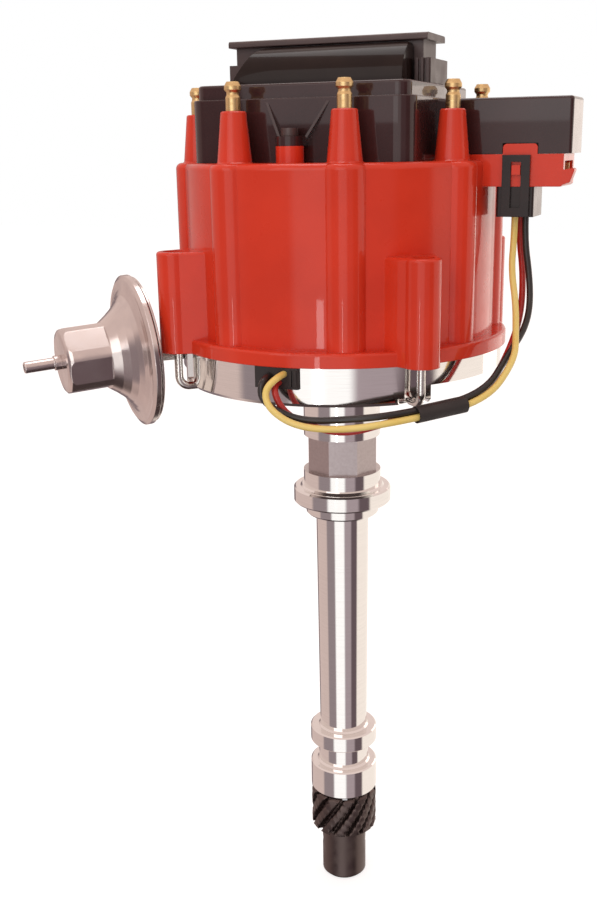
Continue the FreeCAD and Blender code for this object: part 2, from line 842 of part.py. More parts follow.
def coil_core():
    """Laminated iron core: web, foot on the cover's rim and the flange along its top."""
    flange_top = rim + flange_level
    web = block((coil_left, core_right), (-core_half, core_half),
        (coil_low + 3, flange_top - flange_height))
    end = block((core_left, coil_left), (-core_half, core_half), (rim_top, flange_top - flange_height))
    foot = block((foot_left, foot_right), (-foot_half, foot_half), (rim_top, rim_top + foot_height))
    wing = foot_half - core_half
    winding_space = block(
        (coil_left, coil_right), (-foot_half - cut_over, foot_half + cut_over),
        (rim_top - cut_over, rim_top + foot_height + cut_over))
    ends = foot.cut(winding_space)
    flange = Part.Face(rounded_outline([
        (Vector(foot_left, -flange_half, flange_top - flange_height), 0.4),
        (Vector(foot_left, flange_half, flange_top - flange_height), 0.4),
        (Vector(foot_left, flange_half, flange_top), 1.2),
        (Vector(foot_left, -flange_half, flange_top), 1.2),
    ])).extrude(Vector(foot_right - foot_left - 1.3, 0, 0))
    fins = [
        block((x, x + 1.2), (-foot_half - 1.2, -foot_half + wing), (rim_top, rim_top + foot_height))
        for x in (coil_right + 0.6, coil_right + 2.8, coil_right + 5.0)]
    return joined([web, end, ends, flange] + fins)


def coil_screws():
    places = coil_screw_places()
    return Part.makeCompound([cylinder(screw_radius, well - 3, coil_low + 4, x, y) for x, y in places])


def cover_outline(inset, low, high):
    return rounded_block(
        (cover_left + inset, cover_right - inset), (-cover_half + inset, cover_half - inset), (low, high),
        cover_corner - inset)


def cover_screw_bosses():
    """Two bosses that stand on the cap's posts, each with a V of two thin webs up to the tier."""
    shapes = []
    boss_top = cover_boss_low + cover_boss_height
    for side in (-1, 1):
        wall = side * (cover_half - 1.5)
        shapes.append(cylinder(post_radius, cover_boss_low, boss_top, post_x, side * post_circle))
        shapes.append(block(
            (post_x - post_radius, post_x + post_radius), sorted((wall, side * post_circle)), (
                cover_boss_low, boss_top)))
        slope = Part.Face(Part.makePolygon([
            Vector(-2 * cover_web_half, wall + side * depth, level)
            for depth, level in (
                (0, cover_boss_low), (web_foot_depth, cover_boss_low), (web_top_depth, tier_low),
                (0, tier_low),
                (0, cover_boss_low))])).extrude(Vector(4 * cover_web_half, 0, 0))
        for lean in (-1, 1):
            foot = Vector(post_x + lean * (post_radius - 0.1), wall, boss_top - 2)
            top = Vector(lean * cover_web_half, wall, tier_low - 1)
            across = Vector(lean * web_thickness, 0, 0)
            web_face = Part.Face(Part.makePolygon([foot, top, top - across, foot - across, foot]))
            shapes.append(web_face.extrude(Vector(0, side * web_foot_depth, 0)).common(slope))
    return shapes


def coil_cover():
    """Thin moulded cover with a stepped rim, a hollow arm over the shelf and two webbed screw bosses."""
    tier = cover_outline(tier_inset, tier_low, rim_top)
    tier = tier.makeFillet(1.0, [edge for edge in tier.Edges if edge.BoundBox.ZMin > rim_top - 0.1])
    skin = cover_outline(0, cover_low, tier_low + 0.5)
    skin = skin.makeFillet(0.5, [edge for edge in skin.Edges if edge.BoundBox.ZMin > tier_low + 0.4])
    arm = rounded_block((0, arm_end), (-shelf_half, shelf_half), (arm_bottom + 0.1, rim + arm_top), 1.6)
    arm = arm.makeFillet(1.2, [edge for edge in arm.Edges if edge.BoundBox.ZMin > rim + arm_top - 0.1])
    body = joined([tier, skin, arm] + cover_screw_bosses())
    inner_wall = tier_inset + cover_wall
    hollow = rounded_block(
        (cover_left + inner_wall, cover_right - inner_wall),
        (-cover_half + inner_wall, cover_half - inner_wall),
        (cover_low - cut_over, rim_top - cover_wall), cover_corner - inner_wall)
    arm_hollow = block(
        (0, arm_end - cover_wall), (-shelf_half + cover_wall, shelf_half - cover_wall),
        (arm_bottom - cut_over, rim + arm_top - cover_wall))
    opening_gap = 0.4
    opening_low = rim_top - 5
    opening = rounded_block(
        (coil_left - opening_gap, coil_right + opening_gap),
        (-coil_half - opening_gap, coil_half + opening_gap),
        (opening_low, rim_top + cut_over), 0.9)
    notch_gap = 0.2
    web_room = block(
        (coil_left - notch_gap, core_right + notch_gap), (-core_half - notch_gap, core_half + notch_gap),
        (opening_low, rim_top + cut_over))
    bump_notch = block(
        (bump_start - notch_gap, bump_end + notch_gap),
        (-shelf_half - cut_over, -shelf_half + bump_depth + notch_gap),
        (arm_bottom - cut_over, shelf_top + bump_height + notch_gap))
    cuts = [hollow, arm_hollow, opening, web_room, bump_notch]
    for side in (-1, 1):
        cuts.append(cylinder(
            screw_radius + 0.15, cover_boss_low - cut_over, cover_boss_low + cover_boss_height + cut_over,
            post_x, side * post_circle))
        cuts.append(cylinder(
            post_radius + seat_gap, cover_low - cut_over, cover_boss_low, post_x, side * post_circle))
    return body.cut(cuts)


def cover_screws():
    """Screws on top of the cover's bosses, with tall heads."""
    seat = cover_boss_low + cover_boss_height
    depth = seat - cap_top + 3
    return Part.makeCompound([
        screw(post_x, side * post_circle, seat, depth, cover_screw_head_radius, cover_screw_head_height)
        for side in (-1, 1)])


# Plug


def plug_body():
    """Three-way plug: the grip below the shelf and the tongue in its socket."""
    grip_low = shelf_bottom - plug_height
    grip = rounded_block((plug_start, plug_end), (-shelf_half, plug_back), (grip_low, shelf_bottom - 0.1),
        1.0)
    tongue_gap = 0.15
    tongue = block(
        (socket_start + tongue_gap, socket_end - tongue_gap),
        (-socket_half + tongue_gap, plug_back - 2 - tongue_gap),
        (shelf_bottom - cut_over, shelf_bottom + socket_depth - 1.2))
    slots = [
        block((x - 1.75, x + 1.75), (-0.7, 0.7), (shelf_bottom + 1.0, shelf_bottom + socket_depth))
        for x in plug_blade_places()]
    return joined([grip, tongue]).cut(slots)


def plug_blade_places():
    middle = (socket_start + socket_end) / 2
    return [middle - blade_pitch, middle, middle + blade_pitch]


def socket_blades():
    """Flat terminals: three for the plug and two for the battery and tachometer feeds."""
    blades = [
        block((x - 1.5, x + 1.5), (-0.4, 0.4), (shelf_bottom + 1.6, shelf_bottom + socket_depth))
        for x in plug_blade_places()]
    blades += [
        block((socket_end + feed_wall, shelf_end - 0.8), (y - 0.4, y + 0.4),
            (shelf_bottom + 3.4, shelf_bottom + 8.8))
        for y in (-socket_half + 3.0, socket_half - 3.0)]
    return Part.makeCompound(blades)


def plug_clip():
    """Spring clip of the plug: a frame on the shelf's front whose window catches the wedge."""
    low = shelf_bottom - plug_height + 0.2
    front = -shelf_half - clip_thick
    frame = block((clip_start, clip_end), (front, -shelf_half), (low, shelf_bottom + clip_rise))
    window = block(
        (clip_start + clip_leg, clip_end - clip_leg), (front - cut_over, 0),
        (low + 3.4, shelf_bottom + clip_rise - 2.6))
    return frame.cut(window)


# Vacuum can


def flare(skin):
    """Half outline of the front shell: rim, trumpet flare and boss, moved in by skin."""
    points = [
        (can_radius - skin, crimp_low),
        (can_radius - skin, 0.9 - skin * 0.5),
        (can_radius - 1.8 - skin, 1.9 - skin * 0.6),
    ]
    wide = can_radius - 3.2 - skin
    narrow = boss_round_radius - skin
    for place in range(flare_count + 1):
        share = place / flare_count
        radius = wide + (narrow - wide) * share
        rise = (hex_start - 1.8) * share ** 1.9
        points.append((radius, 1.8 + rise - skin * 0.9))
    return points


def vacuum_front_shell():
    """Pressed front half of the can with its six-sided adjuster boss."""
    outer = flare(0)
    shell = turned([(0, crimp_low)] + outer + [(0, outer[-1][1])])
    root = hex_start - 3
    corners = [at(hex_radius, hex_turn + 60 * place, root) for place in range(7)]
    boss = Part.Face(Part.makePolygon(corners)).extrude(Vector(0, 0, hex_end - root))
    rounding = turned([
        (0, 0), (boss_round_radius, 0), (boss_round_radius, hex_end - 2.6),
        (boss_round_radius - 0.5, hex_end - 1.3),
        (boss_round_radius - 1.6, hex_end - 0.4), (boss_round_radius - 3.2, hex_end), (0, hex_end)])
    boss = boss.common(rounding)
    inner = flare(can_skin)
    hollow = turned(
        [(0, crimp_low - cut_over)] + [(inner[0][0], crimp_low - cut_over)] + inner + [(0, inner[-1][1])])
    boss_bore = cylinder(spring_room, 2, hex_end - 3)
    nipple_hole = cylinder(nipple_spigot, hex_end - 4, hex_end + cut_over)
    return along_can(joined([shell, boss]).cut([hollow, boss_bore, nipple_hole]))


def vacuum_nipple():
    """Hose nipple with a thin spigot in the boss and a collar against its face."""
    collar_top = hex_end + nipple_collar_height
    outer = turned([
        (0, hex_end - 3), (nipple_spigot, hex_end - 3), (nipple_spigot, hex_end), (nipple_collar, hex_end),
        (nipple_collar, collar_top), (nipple_radius + nipple_root, collar_top),
        (nipple_radius, collar_top + nipple_root), (nipple_radius, nipple_end - nipple_chamfer),
        (nipple_radius - nipple_chamfer, nipple_end), (0, nipple_end)])
    return along_can(outer.cut(cylinder(nipple_spigot - 0.7, hex_end - 4, nipple_end + cut_over)))


def vacuum_rear_shell():
    """Drum-shaped rear half with the rim that the front half is crimped over."""
    edge = can_radius - 1.0
    floor = -rear_depth + can_skin
    outer = [
        (edge, -2.8), (drum_radius + 2.4, -3.0), (drum_radius + 0.6, -3.5), (drum_radius, -4.2),
        (drum_radius - 0.8, -rear_depth)]
    inner = [
        (drum_radius - 1.6, floor), (drum_radius - 1.0, -3.2), (drum_radius - 0.4, -2.5),
        (drum_radius + 1.6, -1.9), (edge, -1.9)]
    shell = turned([(rear_hole, -rear_depth)] + outer[::-1] + inner[::-1] + [(rear_hole, floor)])
    return along_can(shell)


def vacuum_diaphragm():
    """Moulded rubber diaphragm, clamped at the rim between the two shells."""
    edge = can_radius - 1.2
    plate = turned([
        (0, crimp_low), (14, crimp_low), (19, -2.6), (25, -1.9), (edge, -1.9), (edge, crimp_low),
        (25, crimp_low), (19, -1.7), (14, 0), (0, 0)])
    return along_can(plate)


def vacuum_spring():
    return along_can(moved(coil_spring(vacuum_spring_radius, 0.7, hex_end - 3.1, 6), 0, 0, 0.05))


def vacuum_bracket():
    """Steel bracket: a flange on the rear shell and a tongue screwed to the bowl's floor."""
    half = bracket_width / 2
    tab_low = shallow_floor - bracket_tab_depth - can_height
    tab_top = 1.5
    tab = along_can(
        block((tab_low, tab_top), (-half, half), (-rear_depth - bracket_thickness, -rear_depth)))
    tongue_end = -rear_depth - bracket_thickness / 2
    tongue = beside_can(
        (-bracket_inner_reach, tongue_end), (-half, half),
        (shallow_floor, shallow_floor + bracket_thickness))
    slot_half = rod_half_width + 0.5
    rod_slot = beside_can(
        (tongue_end - 9, cut_over - rear_depth), (-slot_half, slot_half),
        (shallow_floor + bracket_thickness + 0.4, can_height + 3))
    holes = [cylinder(screw_radius, floor - 3, floor + 4, x, y) for x, y, floor in bracket_screw_places()]
    return joined([tab, tongue]).cut([rod_slot] + holes)


def rod_levels():
    low = plate_low - 0.9 - rod_thickness
    return low, low + rod_thickness


def vacuum_rod():
    """Flat strip from the diaphragm to the pickup pin, with a cross slot for the pin."""
    low, high = rod_levels()
    start = -can_distance - 5.5
    strip = beside_can((start, -1.6), (-rod_half_width, rod_half_width), (low, high))
    eye_gap = 0.3
    drift = pickup_radius * (1 - math.cos(math.radians(pickup_swing)))
    half_along = pickup_pin_radius + eye_gap
    slot = beside_can(
        (-can_distance - half_along, -can_distance + half_along),
        (-half_along - drift, half_along + drift), (low - cut_over, high + cut_over))
    head = beside_can((start, start + 11), (-half_along - drift - 1.6, half_along + drift + 1.6),
        (low, high))
    return joined([strip, head]).cut(slot)


# Pickup


def pickup_plate():
    """Turning plate on the bowl's boss, with the arm and pin that the vacuum rod pulls."""
    low, _ = rod_levels()
    disc = ring(plate_radius, boss_radius + turning_gap, plate_low, plate_top)
    pin_spot = at(pickup_radius, pickup_angle)
    pin = cylinder(pickup_pin_radius, low - 0.5, plate_top, pin_spot.x, pin_spot.y)
    return joined([disc, pin])


def pickup_magnet():
    return ring(magnet_outer, magnet_inner, plate_top, pole_low)


def pickup_coil():
    """Wound bobbin round the boss with two thin flanges."""
    height = magnet_height
    core = ring(coil_outer - 0.8, coil_inner + 0.4, plate_top, plate_top + height)
    flanges = [ring(coil_outer, coil_inner, low, low + 0.8)
        for low in (plate_top, plate_top + height - 0.8)]
    return joined([core] + flanges)


def pole_piece():
    """Ring with one inward tooth for each cylinder."""
    outer_ring = ring(magnet_outer, pole_open_radius, pole_low, pole_low + pole_thickness)
    tip = trigger_tip + tooth_gap
    teeth = [
        sector(tip, pole_open_radius + 1, angle - 4.5, angle + 4.5, pole_low, pole_low + pole_thickness)
             for angle in tower_angles]
    return joined([outer_ring] + teeth)


def pickup_clip():
    """Split retaining washer in the boss's groove."""
    low = plate_top + 0.2
    washer = ring(clip_radius, clip_radius - 3.4, low, low + clip_thickness)
    gap = block((clip_radius - 6, clip_radius + 1), (-3.2, 3.2), (low - cut_over, low + 2))
    return washer.cut(gap)


# Trigger wheel, advance and rotor


def trigger_wheel():
    inner = sleeve_bore + sleeve_wall
    hub = ring(trigger_root, inner, trigger_low, base_low)
    teeth = [sector(trigger_root - 0.5, trigger_tip, angle - 5, angle + 5, trigger_low, base_low)
        for angle in tower_angles]
    return joined([hub] + teeth)


def weight_base():
    """Sleeve that turns on the shaft, with the plate, the weight pins and the rotor posts."""
    inner = sleeve_bore
    sleeve = ring(inner + sleeve_wall, inner, trigger_low, base_low + 0.5)
    plate = ring(base_radius, inner, base_low, base_top)
    pins = [cylinder(weight_pin_radius, base_low, cam_top + post_rise, 0, side * weight_pivot_offset)
        for side in (-1, 1)]
    posts = [cylinder(rotor_post_radius, base_low, disc_low, side * rotor_post_offset, 0)
        for side in (-1, 1)]
    windows = [rotated(sector(11.5, 17.0, 20, 75, base_low - cut_over, base_top + cut_over), turn_angle)
               for turn_angle in (0, 90, 180, 270)]
    bores = [cylinder(screw_radius, disc_low - 5, disc_low + cut_over, side * rotor_post_offset, 0)
        for side in (-1, 1)]
    return joined([sleeve, plate] + pins + posts).cut(windows + bores)


def centre_bar():
    """Cam bar pressed on the shaft's top, with a post at each end for the springs."""
    bar = rounded_block((-cam_half_length, cam_half_length), (-cam_half_width, cam_half_width),
        (cam_low, cam_top), 5.0)
    hub = cylinder(shaft_radius + 2.4, cam_low, cam_top)
    posts = [cylinder(spring_post_radius, cam_top - 1, cam_top + post_rise, side * spring_post_offset, 0)
        for side in (-1, 1)]
    return joined([bar, hub] + posts).cut(cylinder(shaft_radius, cam_low - cut_over, cam_top + cut_over))


def advance_weight(side):
    """Curved flyweight with its pivot hole."""
    arc = sector(weight_inner, weight_outer, weight_start, weight_end, cam_low, cam_top)
    edges = [edge for edge in arc.Edges if edge.BoundBox.ZLength > weight_thickness - 0.1]
    arc = arc.makeFillet(2.4, edges)
    hole = cylinder(weight_pin_radius + running_fit, cam_low - cut_over, cam_top + cut_over, 0,
        weight_pivot_offset)
    return rotated(arc.cut(hole), 180 * side)


def weight_spring(side):
    """Light tension spring between a post of the centre bar and a weight's pin."""
    start = Vector(spring_post_offset, 0, cam_top + spring_rise)
    end = Vector(0, weight_pivot_offset, cam_top + spring_rise)
    span = end - start
    direction = Vector(span).normalize()
    loop_post = spring_post_radius + 0.1
    loop_pin = weight_pin_radius + 0.1
    wire = 0.35
    body_length = span.Length - loop_post - loop_pin - 4 * wire
    spring = coil_spring(1.5, wire, body_length, 7)
    spring.Placement = FreeCAD.Placement(
        start + direction * (loop_post + 2 * wire), FreeCAD.Rotation(Vector(0, 0, 1), direction))
    low = cam_top + spring_rise - wire
    loops = []
    for spot, radius in ((start, loop_post), (end, loop_pin)):
        loop = ring(radius + 2 * wire, radius, low, low + 2 * wire)
        loops.append(moved(loop, spot.x, spot.y))
    return rotated(Part.makeCompound([spring] + loops), 180 * side)


def rotor():
    """Moulded rotor: disc on the posts, hub and the arm that carries the blade."""
    disc = cylinder(rotor_disc_radius, disc_low, disc_low + rotor_disc_thickness)
    hub = cylinder(rotor_hub_radius, disc_low, hub_top)
    half = rotor_arm_width / 2
    arm = rounded_block((0, rotor_arm_length), (-half, half), (hub_top - 4.5, hub_top), 3)
    gusset = Part.Face(Part.makePolygon([
        Vector(rotor_hub_radius - 1, -1.5, disc_low + 1), Vector(rotor_disc_radius - 2, -1.5, disc_low + 1),
        Vector(rotor_arm_length - 6, -1.5, hub_top - 4), Vector(rotor_hub_radius - 1, -1.5, hub_top - 4),
        Vector(rotor_hub_radius - 1, -1.5, disc_low + 1)])).extrude(Vector(0, 3, 0))
    body = rotated(joined([disc, hub, arm, gusset]), rotor_angle)
    holes = [cylinder(screw_radius, disc_low - cut_over, disc_low + 9, side * rotor_post_offset, 0)
        for side in (-1, 1)]
    return body.cut(holes)


def rotor_blade():
    """Brass strip from the centre contact to the tip that passes the terminals."""
    reach = tower_circle - terminal_inner_radius - spark_gap
    half = blade_width / 2
    strip = block((-5, reach), (-half, half), (hub_top, blade_top))
    strip = strip.common(cylinder(reach, hub_top, blade_top))
    return rotated(strip, rotor_angle)


def rotor_screws():
    seat = disc_low + rotor_disc_thickness
    return Part.makeCompound(
        [screw(side * rotor_post_offset, 0, seat, rotor_screw_length) for side in (-1, 1)])


# Shaft and gear


def gear_pin_rod(radius, length):
    """Round bar across the shaft at the roll pin's place."""
    start = at(-length / 2, gear_pin_angle, pin_level)
    return Part.makeCylinder(radius, length, start, at(1.0, gear_pin_angle))


def main_shaft():
    """Ground steel shaft with the blade slot that turns the oil pump."""
    body = cylinder(shaft_radius, hub_low, cam_top + 1.0)
    slot = block(
        (-shaft_radius - 1, shaft_radius + 1), (-drive_slot_width / 2, drive_slot_width / 2),
        (hub_low - cut_over, hub_low + drive_slot_depth))
    return body.cut([slot, gear_pin_rod(gear_pin_radius, 4 * shaft_radius)])


def gear_outline(level):
    """One cross-section of the gear: straight flanks between root and tip arcs, turned by the helix."""
    twist = math.degrees((level - gear_low) * math.tan(math.radians(gear_lean)) / gear_tip_radius)
    step = 360 / gear_teeth
    marks = [
        (gear_root_radius, -0.40), (gear_tip_radius - 0.9, -0.30), (gear_tip_radius, -0.22),
        (gear_tip_radius, 0.22), (gear_tip_radius - 0.9, 0.30), (gear_root_radius, 0.40)]
    points = []
    for tooth in range(gear_teeth):
        for radius, share in marks:
            points.append(at(radius, twist + step * (tooth + share), level))
    return Part.makePolygon(points + points[:1])


def drive_gear():
    """Helical gear with thirteen teeth and a long hub."""
    last = gear_section_count - 1
    levels = [gear_low + gear_face * place / last for place in range(gear_section_count)]
    teeth = Part.makeLoft([gear_outline(level) for level in levels], True, False)
    chamfer = turned([
        (0, gear_low), (gear_root_radius + 1.6, gear_low), (gear_tip_radius + 0.1, gear_low + 1.2),
        (gear_tip_radius + 0.1, gear_top - 1.2), (gear_root_radius + 1.6, gear_top), (0, gear_top)])
    hub = turned([
        (0, hub_low), (gear_hub_radius - gear_hub_chamfer, hub_low),
        (gear_hub_radius, hub_low + gear_hub_chamfer),
        (gear_hub_radius, gear_low + 1), (0, gear_low + 1)])
    bore = cylinder(shaft_radius, hub_low - cut_over, gear_top + cut_over)
    return joined([teeth.common(chamfer), hub]).cut(
        [bore, gear_pin_rod(gear_pin_radius, 4 * gear_hub_radius)])


def gear_pin():
    """Coiled roll pin through the hub and the shaft."""
    length = 2 * gear_hub_radius - 0.6
    return gear_pin_rod(gear_pin_radius, length).cut(
        gear_pin_rod(gear_pin_radius - 1.0, length + 2 * cut_over))


def thrust_washer():
    """Washer between the housing and the gear, with a small locating tang."""
    washer = ring(gear_root_radius - 0.6, shaft_radius, gear_top, gear_top + washer_thickness)
    tang = block((gear_root_radius - 2, band_radius - 1.0), (-1.2, 1.2),
        (gear_top, gear_top + washer_thickness))
    return joined([washer, rotated(tang, -67.5)])


# Latches


def latch(angle):
    """Sprung latch: slotted head in the lug's well and a foot hooked under the bowl."""
    head_top = rim + lug_height - 2.0
    foot_level = latch_seat - 0.2 - latch_radius
    corner = foot_level + latch_bend
    turn_middle = latch_bend * (1 - math.cos(math.radians(45)))
    path = Part.Wire([
        Part.LineSegment(Vector(latch_circle, 0, head_top - 2), Vector(latch_circle, 0, corner)).toShape(),
        Part.Arc(
            Vector(latch_circle, 0, corner),
            Vector(latch_circle - turn_middle, 0, foot_level + turn_middle),
            Vector(latch_circle - latch_bend, 0, foot_level)).toShape(),
        Part.LineSegment(Vector(latch_circle - latch_bend, 0, foot_level),
            Vector(latch_circle - latch_foot, 0, foot_level)).toShape(),
    ])
    section = Part.Wire(
        [Part.makeCircle(latch_radius, Vector(latch_circle, 0, head_top - 2), Vector(0, 0, 1))])
    rod = path.makePipeShell([section], True, True)
    head = cylinder(latch_head_radius, head_top - latch_head_height, head_top, latch_circle, 0)
    slot = block(
        (latch_circle - latch_head_radius, latch_circle + latch_head_radius), (-0.6, 0.6),
        (head_top - 1.6, head_top + cut_over))
    return rotated(joined([rod, head]).cut(slot), angle)


def latch_springs():
    low = rim + latch_well_rise
    high = rim + lug_height - 2.0 - latch_head_height
    spring = moved(coil_spring(latch_radius + 1.3, latch_spring_wire, high - low - 0.1, latch_spring_coils),
        latch_circle, 0, low)
    return Part.makeCompound([rotated(spring, angle) for angle in latch_angles])


# Wires


def wire_route(down, under, around):
    """Route of one lead: around is its place round the sleeve's axis in degrees, from outward to up."""
    along = (sleeve_left - sleeve_right).normalize()
    outward = Vector(0, 0, 1).cross(along).normalize()
    above = along.cross(outward)
    spread = (wire_radius + 0.01) / math.cos(math.radians(30))
    turn_angle = math.radians(around)
    offset = (outward * math.cos(turn_angle) + above * math.sin(turn_angle)) * spread
    return down + [sleeve_right - along * sleeve_lead + offset,
        sleeve_left + along * sleeve_lead + offset] + under


def wire(name, points):
    """Round tube of straight runs and tangent arcs, each arc as large as its two runs allow."""
    edges = []
    last = points[0]
    tightest = 1000.0
    for place in range(1, len(points) - 1):
        before = points[place - 1] - points[place]
        after = points[place + 1] - points[place]
        reach = 0.45 * min(before.Length, after.Length)
        half_turn = (math.pi - before.getAngle(after)) / 2
        radius = reach / math.tan(half_turn)
        tightest = min(tightest, radius)
        start = points[place] + before.normalize() * reach
        end = points[place] + after.normalize() * reach
        towards = (before + after).normalize()
        middle = points[place] + towards * (radius / math.cos(half_turn) - radius)
        edges.append(Part.LineSegment(last, start).toShape())
        edges.append(Part.Arc(start, middle, end).toShape())
        last = end
    edges.append(Part.LineSegment(last, points[-1]).toShape())
    path = Part.Wire(edges)
    section = Part.Wire([Part.makeCircle(wire_radius, points[0], points[1] - points[0])])
    tube = path.makePipeShell([section], True, True)
    expected = math.pi * wire_radius ** 2 * path.Length
    print(name,
        "length %.1f mm, tightest arc %.1f mm, volume ratio %.4f" % (path.Length, tightest,
            tube.Volume / expected))
    return tube


def wire_sleeve():
    """Heat-shrunk sleeve that holds the three leads together."""
    along = sleeve_left - sleeve_right
    bore = (wire_radius + 0.01) / math.cos(math.radians(30)) + wire_radius + 0.03
    outer = Part.makeCylinder(sleeve_radius, along.Length, sleeve_right, along)
    return outer.cut(
        Part.makeCylinder(bore, along.Length + 2, sleeve_right - Vector(along).normalize(), along))


def save(name, shape):
    shape.exportStep("parts/" + name + ".step")


save("housing", housing())
save("upper_bushing", upper_bushing())
save("lower_bushing", lower_bushing())
save("ignition_module", ignition_module())
save("module_screws",
    Part.makeCompound([screw(x, y, floor + 3, 5.0) for x, y, floor in module_screw_places()]))
save("capacitor", capacitor())
save("capacitor_screw",
    Part.makeCompound([screw(x, y, floor + 1.2, 3.4) for x, y, floor in capacitor_screw_place()]))
save("wire_grommet", wire_grommet())
save("cap", cap())
save("spark_terminals", spark_terminals())
save("carbon_contact", carbon_contact())
save("carbon_spring", carbon_spring())
save("coil_seal", coil_seal())
save("coil_winding", coil_winding())
save("coil_core", coil_core())
save("coil_screws", coil_screws())
save("coil_cover", coil_cover())
save("cover_screws", cover_screws())
save("socket_blades", socket_blades())
save("plug_body", plug_body())
save("plug_clip", plug_clip())
save("vacuum_front_shell", vacuum_front_shell())
save("vacuum_rear_shell", vacuum_rear_shell())
save("vacuum_nipple", vacuum_nipple())
save("vacuum_diaphragm", vacuum_diaphragm())
save("vacuum_spring", vacuum_spring())
save("vacuum_bracket", vacuum_bracket())
save("bracket_screws", Part.makeCompound(
    [screw(x, y, floor + bracket_thickness, 3.7) for x, y, floor in bracket_screw_places()]))
save("vacuum_rod", vacuum_rod())
save("pickup_plate", pickup_plate())
save("pickup_magnet", pickup_magnet())
save("pickup_coil", pickup_coil())
save("pole_piece", pole_piece())
save("pickup_clip", pickup_clip())
save("trigger_wheel", trigger_wheel())
save("weight_base", weight_base())
save("centre_bar", centre_bar())
for side in (0, 1):
    save("advance_weight_" + str(side + 1), advance_weight(side))
    save("weight_spring_" + str(side + 1), weight_spring(side))
save("rotor", rotor())
save("rotor_blade", rotor_blade())
save("rotor_screws", rotor_screws())
save("main_shaft", main_shaft())
save("drive_gear", drive_gear())
save("gear_pin", gear_pin())
save("thrust_washer", thrust_washer())
for number, angle in enumerate(latch_angles):
    save("latch_" + str(number + 1), latch(angle))
save("latch_springs", latch_springs())
save("wire_yellow", wire("wire_yellow", wire_route(yellow_down, yellow_under, -30)))
save("wire_black", wire("wire_black", wire_route(black_down, black_under, 90)))
save("wire_red", wire("wire_red", wire_route(red_down, red_under, 210)))
save("wire_sleeve", wire_sleeve())
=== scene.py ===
import bpy
import math
from mathutils import Matrix, Vector


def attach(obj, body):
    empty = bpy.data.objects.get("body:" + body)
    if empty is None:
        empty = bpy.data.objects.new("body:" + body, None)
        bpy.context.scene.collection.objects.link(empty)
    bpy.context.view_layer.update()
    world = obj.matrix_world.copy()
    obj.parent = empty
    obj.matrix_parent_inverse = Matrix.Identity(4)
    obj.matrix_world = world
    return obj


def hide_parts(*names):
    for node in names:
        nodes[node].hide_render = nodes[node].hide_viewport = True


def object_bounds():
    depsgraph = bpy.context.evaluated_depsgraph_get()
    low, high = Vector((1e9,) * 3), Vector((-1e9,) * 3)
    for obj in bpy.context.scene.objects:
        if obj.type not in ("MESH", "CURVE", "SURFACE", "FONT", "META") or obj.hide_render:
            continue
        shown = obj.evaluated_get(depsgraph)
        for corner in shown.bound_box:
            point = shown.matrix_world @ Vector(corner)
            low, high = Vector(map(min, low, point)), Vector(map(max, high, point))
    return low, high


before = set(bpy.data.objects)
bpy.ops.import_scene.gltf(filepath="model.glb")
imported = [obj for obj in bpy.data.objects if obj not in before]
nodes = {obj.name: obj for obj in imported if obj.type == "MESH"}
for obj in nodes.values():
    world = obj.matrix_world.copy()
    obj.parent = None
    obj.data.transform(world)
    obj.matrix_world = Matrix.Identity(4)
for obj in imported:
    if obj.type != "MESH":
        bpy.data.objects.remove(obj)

# The ignition distributor's looks. Metres, in the CAD frame: +Z up the shaft, +X to the connector shelf.

cad_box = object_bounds()

# Camera of the photograph

camera_place = Vector((0.17065, -0.44719, 0.15622))
camera_forward = Vector((-0.36893, 0.89067, -0.26570)).normalized()
camera_roll = math.radians(-0.76)
photo_height = 900.0
focal_pixels = 1092.6
shift_pixels = (-13.8, -1.8)
sensor_width = 36.0


def make_camera():
    level = camera_forward.cross(Vector((0, 0, 1))).normalized()
    upright = level.cross(camera_forward).normalized()
    right = level * math.cos(camera_roll) + upright * math.sin(camera_roll)
    up = upright * math.cos(camera_roll) - level * math.sin(camera_roll)
    data = bpy.data.cameras.new("camera")
    camera = bpy.data.objects.new("camera", data)
    bpy.context.scene.collection.objects.link(camera)
    back = -camera_forward
    camera.matrix_world = Matrix((
        (right.x, up.x, back.x, camera_place.x),
        (right.y, up.y, back.y, camera_place.y),
        (right.z, up.z, back.z, camera_place.z),
        (0, 0, 0, 1)))
    data.sensor_fit = "AUTO"
    data.sensor_width = sensor_width
    data.lens = sensor_width * focal_pixels / photo_height
    data.shift_x = shift_pixels[0] / photo_height
    data.shift_y = shift_pixels[1] / photo_height
    data.clip_start = 0.01
    data.clip_end = 20.0
    data.dof.use_dof = False
    bpy.context.scene.camera = camera


# Materials: depths of the grain, and the levels between which the housing's octagon is left as cast

fine_grain = 0.000002
plate_grain = 0.00001
rough_grain = 0.00002
cast_low = (0.01505, 0.01535)
cast_high = (0.03135, 0.03165)


